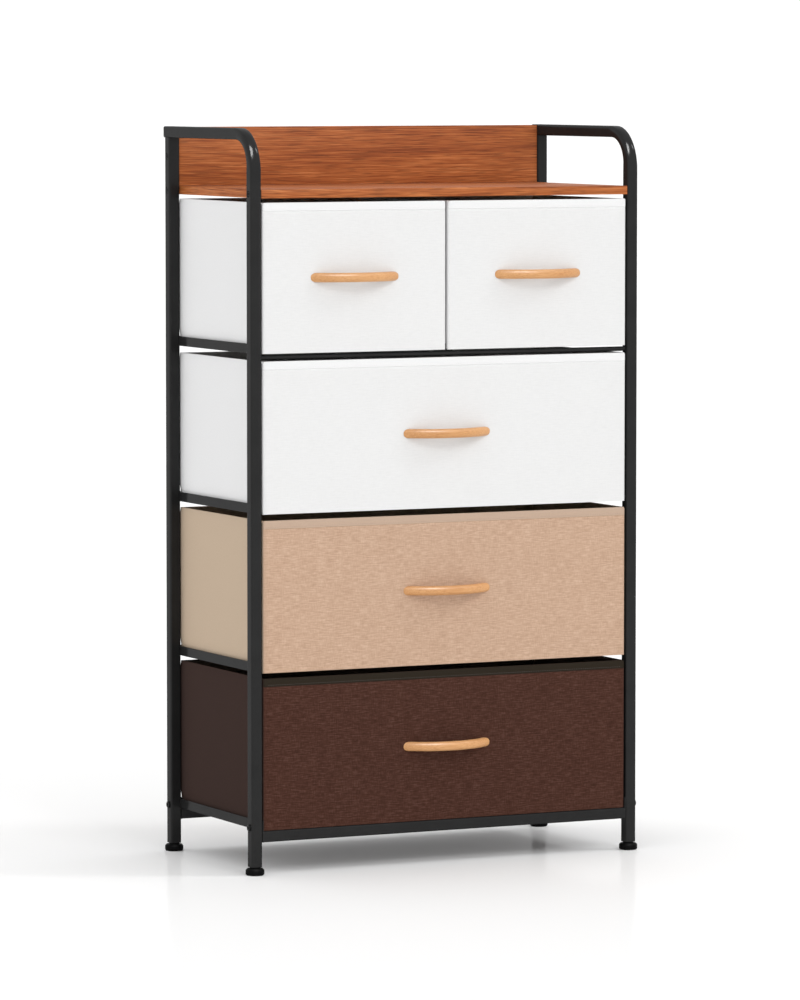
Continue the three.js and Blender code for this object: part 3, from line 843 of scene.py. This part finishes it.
def foot_pieces():
    """Moulded levelling feet: a disc with a rounded shoulder, a nut and a threaded stem."""
    for side in SIDES:
        for end in ENDS:
            node = f"{end}_{side}_foot"
            low, high = corners_of(node)
            radius, stem = (high.x - low.x) / 2, high.z - low.z
            disc, nut = DISC_HEIGHT, DISC_HEIGHT + NUT_HEIGHT
            base = [(radius - inset, rise) for inset, rise in DISC_BASE_EDGE]
            shoulder = [(radius - inset, disc - drop) for inset, drop in DISC_TOP_EDGE]
            collar = [(NUT_RADIUS, disc), (NUT_RADIUS, nut)]
            rod = [(STEM_RADIUS, nut), (STEM_RADIUS, stem), (0, stem)]
            bm = lathe([(0, 0), *base, *shoulder, *collar, *rod], FOOT_STEPS)
            bm.transform(Matrix.Translation((low.x + radius, low.y + radius, low.z)))
            name, body = f"levelling_disc_{end}_{side}", f"{end}_{side}_levelling_foot"
            finish_piece(name, bm, [MOULDED_BLACK], body, [node])


# Pulls

def bow_pull(node):
    """A round-edged bar bent to a bow, cut flat where it meets the panel."""
    low, high = corners_of(node)
    half, reach, middle = (high.x - low.x) / 2, high.y - low.y, (low + high) / 2
    outer = (half * half + reach * reach) / (reach * 2)
    axis = Vector((middle.x, low.y + outer, middle.z))
    bar = outer - PULL_BAR / 2
    overshoot = math.asin(half / outer) + PULL_OVERSHOOT
    spoke = Vector((math.sin(-overshoot), -math.cos(overshoot), 0))
    bm = bmesh.new()
    start, thickness = axis + spoke * bar, high.z - low.z
    face = rounded_polygon(bm, start, spoke, UP, PULL_BAR, thickness, PULL_ROUNDING, segments=7)
    bmesh.ops.spin(
        bm, geom=[face, *face.edges, *face.verts], cent=axis, axis=UP, dvec=(0, 0, 0),
        angle=overshoot * 2, steps=PULL_STEPS, use_merge=False, use_duplicate=False,
    )
    geometry = [*bm.verts, *bm.edges, *bm.faces]
    cut = bmesh.ops.bisect_plane(
        bm, geom=geometry, dist=MERGE_GAP, plane_co=(0, high.y, 0), plane_no=(0, 1, 0),
        clear_outer=True,
    )["geom_cut"]
    rim = [e for e in cut if isinstance(e, bmesh.types.BMEdge)]
    bmesh.ops.edgenet_fill(bm, edges=rim)
    bmesh.ops.recalc_face_normals(bm, faces=bm.faces)
    return bm


# Drawers

def grid_cuts(bm, low, high, spacing):
    """Cuts a box's walls into a grid, so that they can be shaped."""
    for axis in range(3):
        count = max(2, round((high[axis] - low[axis]) / spacing))
        for step in range(1, count):
            place = low[axis] + (high[axis] - low[axis]) * step / count
            cut_level(bm, axis, place)


def cut_level(bm, axis, place):
    normal = Vector((0, 0, 0))
    normal[axis] = 1
    geometry = [*bm.verts, *bm.edges, *bm.faces]
    bmesh.ops.bisect_plane(bm, geom=geometry, dist=MERGE_GAP, plane_co=normal * place, plane_no=normal)


def open_box(low, high, corners, spacing, levels=()):
    """Four walls and a floor with round upright edges, cut into a grid, open at the top.

    The two corner radii are the front one and the rear one.
    """
    bm = bmesh.new()
    bmesh.ops.create_cube(bm, size=1)
    bmesh.ops.scale(bm, vec=high - low, verts=bm.verts)
    bmesh.ops.translate(bm, vec=(low + high) / 2, verts=bm.verts)
    middle = (low.y + high.y) / 2
    for corner, sign in zip(corners, (-1, 1)):
        upright = [e for e in bm.edges if e.verts[0].co.xy == e.verts[1].co.xy]
        end = [e for e in upright if sign * (e.verts[0].co.y - middle) > 0]
        bevel_edges(bm, end, corner, segments=4)
    top = [f for f in bm.faces if f.normal.z > TOP_PART]
    bmesh.ops.delete(bm, geom=top, context="FACES_ONLY")
    grid_cuts(bm, low, high, spacing)
    for level in levels:
        cut_level(bm, 2, level)
    return bm


def add_flat_map(bm):
    """A map in metres that follows each wall, so that weave and grain run along it."""
    layer = bm.loops.layers.uv.new("flat")
    for face in bm.faces:
        normal = [abs(c) for c in face.normal]
        main = normal.index(max(normal))
        for loop in face.loops:
            x, y, z = loop.vert.co
            loop[layer].uv = ((y + SIDE_MAP_SHIFT, z), (x, z), (x, y + LEVEL_MAP_SHIFT))[main]


def sway(place, amount, size, seed):
    """A smooth unevenness between -amount and amount."""
    return amount * noise.noise(place / size + Vector([seed * step for step in SWAY_STEPS]))


def panel_bow(place, low, high, seed):
    """How far the front panel stands off its plane, towards the rear."""
    share = (place.x - low.x) / (high.x - low.x)
    return -sway(place, PANEL_SWAY, PANEL_SWAY_LENGTH, seed) * max(0.0, 4 * share * (1 - share))


def rear_bulge(place, low, high):
    """How far a side wall stands out near the rear, above the bottom rail's end plates."""
    near_rear = 1 - (high.y - place.y) / REAR_BULGE_LENGTH
    above = (place.z - low.z - REAR_BULGE_START) / REAR_BULGE_EASE
    below = (high.z - place.z) / REAR_BULGE_EASE
    return REAR_BULGE * max(0.0, near_rear) * min(1.0, max(0.0, above), below)


def raise_behind_lip(bm, low, floor):
    """Draws everything behind the front panel's lip up to the drawer's floor."""
    behind = low.y + LIP_DEPTH + LIP_SHOULDER / 2
    top = floor + FLOOR_EDGE
    for vert in bm.verts:
        if vert.co.y > behind and vert.co.z < top:
            share = (vert.co.z - low.z) / (top - low.z)
            vert.co.z = floor + FLOOR_EDGE * share
    bm.normal_update()


def skin_shift(vert, low, high, seed):
    """How far a wall's place moves: bowed sides, a flat front panel with a seam under its band."""
    middle, half, hem = (low + high) / 2, (high - low) / 2, high.z - HEM_WIDTH
    place, out = vert.co, vert.normal
    inside_x = max(0.0, 1 - ((place.x - middle.x) / half.x) ** 2)
    inside_y = max(0.0, 1 - ((place.y - middle.y) / half.y) ** 2)
    height = (place.z - low.z) / (high.z - low.z)
    shift = Vector((0, 0, 0))
    if abs(out.x) > abs(out.y):
        swayed = sway(place, SIDE_SWAY, SIDE_SWAY_LENGTH, seed) * inside_y
        bow = -SIDE_BOW * height * inside_y + swayed
        shift.x = math.copysign(1, out.x) * (bow + rear_bulge(place, low, high))
    elif out.y > 0:
        swayed = sway(place, BACK_SWAY, BACK_SWAY_LENGTH, seed) * inside_x
        shift.y = -BACK_BOW * height * inside_x + swayed
    else:
        shift.y = panel_bow(place, low, high, seed)
        if place.z > hem - NODE_MERGE_GAP:
            shift.y -= HEM_STEP
        elif place.z > hem - 1.5 * SEAM_WIDTH:
            shift.y += SEAM_DEPTH
    return shift


def drawer_outside(low, high, floor, seed):
    """The cloth skin: stiff front panel with a lip below the floor, softer sides and a banded top."""
    hem = high.z - HEM_WIDTH
    seam = (hem - 2 * SEAM_WIDTH, hem - SEAM_WIDTH, hem)
    levels = (*seam, high.z - TOP_EDGE, low.z + LIP_EDGE, floor + FLOOR_EDGE)
    bm = open_box(low, high, (CLOTH_CORNER, REAR_CORNER), CLOTH_GRID, levels)
    cut_level(bm, 1, low.y + LIP_DEPTH)
    cut_level(bm, 1, low.y + LIP_DEPTH + LIP_SHOULDER)
    raise_behind_lip(bm, low, floor)
    walls = [v for v in bm.verts if v.normal.xy.length >= WALL_PART]
    shifts = [skin_shift(vert, low, high, seed) for vert in walls]
    for vert, shift in zip(walls, shifts):
        vert.co += shift
    soften_top_corners(bm, low, high)
    return bm


def soften_top_corners(bm, low, high):
    """Rounds the front panel's upper corners in its own plane."""
    for vert in bm.verts:
        if vert.co.y > low.y + LIP_DEPTH:
            continue
        for edge_x, sign in ((low.x, 1), (high.x, -1)):
            across = sign * (vert.co.x - edge_x)
            drop = high.z - vert.co.z
            if across < PANEL_CORNER and drop < PANEL_CORNER:
                gap = PANEL_CORNER - across
                lowering = PANEL_CORNER - math.sqrt(max(PANEL_CORNER ** 2 - gap ** 2, 0))
                vert.co.z -= lowering * (1 - drop / PANEL_CORNER)


def hem_stitches(drawer, low, high, seed):
    """A row of short threads that holds the band to the front panel."""
    bm = bmesh.new()
    count = int((high.x - low.x - STITCH_MARGIN * 2) / STITCH_PITCH)
    size = Matrix.Diagonal((STITCH_LENGTH, STITCH_WIDTH, STITCH_WIDTH, 1))
    start = (low.x + high.x - (count - 1) * STITCH_PITCH) / 2
    for index in range(count):
        place = Vector((start + index * STITCH_PITCH, low.y, high.z - HEM_WIDTH + STITCH_RISE))
        place.y += panel_bow(place, low, high, seed) - HEM_STEP
        matrix = Matrix.Translation(place) @ size
        bmesh.ops.create_uvsphere(bm, u_segments=6, v_segments=4, radius=0.5, matrix=matrix)
    slot = CLOTH_OF[drawer]
    finish_piece(f"hem_thread_{drawer}", bm, [THREAD[slot]], f"{drawer}_drawer")


def drawer_cloth(drawer, seed):
    """A bin's outside and inside, joined over a rounded rim, with its stitches and its lining."""
    node = f"{drawer}_bin"
    low, high = corners_of(node)
    board_low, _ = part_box(f"{drawer}_bottom_board")
    floor = board_low[2] - FLOOR_COVER
    bm = drawer_outside(low, high, floor, seed)
    wall = Vector((CLOTH_WALL, CLOTH_WALL, 0))
    inner_low = Vector((low.x, low.y, floor + FLOOR_THICKNESS)) + wall
    inner_high = high - wall
    corners = (CLOTH_CORNER * INNER_CORNER_SHARE, REAR_CORNER * INNER_CORNER_SHARE)
    inner = open_box(inner_low, inner_high, corners, CLOTH_GRID)
    bmesh.ops.reverse_faces(inner, faces=inner.faces)
    helper = bpy.data.meshes.new("inner_wall")
    inner.to_mesh(helper)
    inner.free()
    rim = [e for e in bm.edges if e.is_boundary]
    before = set(bm.edges)
    bm.from_mesh(helper)
    bpy.data.meshes.remove(helper)
    rim += [e for e in bm.edges if e not in before and e.is_boundary]
    bmesh.ops.bridge_loops(bm, edges=rim)
    bmesh.ops.recalc_face_normals(bm, faces=bm.faces)
    bevel_edges(bm, [e for e in rim if e.is_valid], CLOTH_EDGE, segments=3)
    add_flat_map(bm)
    # Linen below the band on the front, the band above it, and the felt with its painted sheen on
    # every other face
    for face in bm.faces:
        front = face.normal.y < -FRONT_PART
        below = face.calc_center_median().z < high.z - HEM_WIDTH - SEAM_WIDTH
        face.material_index = (0 if below else 2) if front else 1
    slot = CLOTH_OF[drawer]
    skins = [CLOTH[slot], FELT_WITH_PAINTED_SHEEN[slot], BAND[slot]]
    finish_piece(f"cloth_{drawer}", bm, skins, f"{drawer}_drawer", [node], CLOTH_TURN)
    hem_stitches(drawer, low, high, seed)
    drawer_lining(drawer, inner_low, inner_high)


def drawer_lining(drawer, low, high):
    """A thin inner cloth that stands just off the bin's walls and floor."""
    gap = Vector((LINING_GAP, LINING_GAP, 0))
    low = low + gap + UP * LINING_GAP
    high = high - gap - UP * LINING_DROP
    corners = (CLOTH_CORNER * LINING_CORNER_SHARE, REAR_CORNER * LINING_CORNER_SHARE)
    bm = open_box(low, high, corners, CLOTH_GRID * 2)
    bmesh.ops.reverse_faces(bm, faces=bm.faces)
    bmesh.ops.solidify(bm, geom=bm.faces[:], thickness=-LINING_WALL)
    bmesh.ops.recalc_face_normals(bm, faces=bm.faces)
    add_flat_map(bm)
    slot = CLOTH_OF[drawer]
    finish_piece(f"lining_{drawer}", bm, [LINING[slot]], f"{drawer}_drawer")


def drawer_board(drawer):
    node, body = f"{drawer}_bottom_board", f"{drawer}_drawer"
    bm = softened(node, BASE_BOARD_EDGE)
    add_flat_map(bm)
    finish_piece(f"base_board_{drawer}", bm, [BASE_FELT], body, [node], FLAT_TURN)


def drawer_pieces():
    for seed, drawer in enumerate(DRAWERS, start=1):
        drawer_cloth(drawer, seed)
        drawer_board(drawer)
        node = f"{drawer}_pull"
        bow, body = bow_pull(node), f"{drawer}_drawer"
        finish_piece(f"bow_{drawer}", bow, [PULL_WOOD], body, [node], PULL_TURN)


# Studio

def studio_floor():
    bm = bmesh.new()
    bmesh.ops.create_grid(bm, x_segments=1, y_segments=1, size=STUDIO_REACH)
    mesh = bpy.data.meshes.new("studio_floor")
    bm.to_mesh(mesh)
    bm.free()
    floor = bpy.data.objects.new("studio_floor", mesh)
    scene.collection.objects.link(floor)
    material, _, shader = new_material("studio_floor")
    set_inputs(shader, {
        "Base Color": (STUDIO_TONE, STUDIO_TONE, STUDIO_TONE, 1), "Roughness": 0.9,
        "Specular IOR Level": 0.0, "Coat Weight": 0.2, "Coat Roughness": 0.12,
    })
    mesh.materials.append(material)


def studio_light():
    """An even white room with soft suns, one of which shows only in gloss."""
    world = bpy.data.worlds.new("studio")
    scene.world = world
    world.use_nodes = True
    background = world.node_tree.nodes["Background"]
    set_inputs(background, {"Color": (1, 1, 1, 1), "Strength": WORLD_STRENGTH})
    lights = {name: add_sun(name, *values) for name, values in SUNS.items()}
    lights["glint"].visible_diffuse = False


def add_sun(name, towards, strength, spread):
    """A distant soft light, given by the direction to it and its width in degrees."""
    data = bpy.data.lights.new(name, "SUN")
    data.energy, data.angle = strength, math.radians(spread)
    light = bpy.data.objects.new(name, data)
    light.rotation_euler = Vector(towards).to_track_quat("Z", "Y").to_euler()
    scene.collection.objects.link(light)
    return light


def add_camera():
    data = bpy.data.cameras.new("camera")
    data.lens, data.sensor_width, data.sensor_fit = CAMERA_LENS, SENSOR_WIDTH, "AUTO"
    data.clip_end = CAMERA_REACH
    camera = bpy.data.objects.new("camera", data)
    camera.location = CAMERA_PLACE
    level = Vector((math.sin(CAMERA_YAW), math.cos(CAMERA_YAW), 0))
    look = level * math.cos(CAMERA_DIP) - UP * math.sin(CAMERA_DIP)
    camera.rotation_euler = look.to_track_quat("-Z", "Y").to_euler()
    scene.collection.objects.link(camera)
    scene.camera = camera


frame_pieces()
board_pieces()
fastener_pieces()
foot_pieces()
drawer_pieces()
studio_floor()
studio_light()
add_camera()
scene.view_settings.view_transform = "Standard"
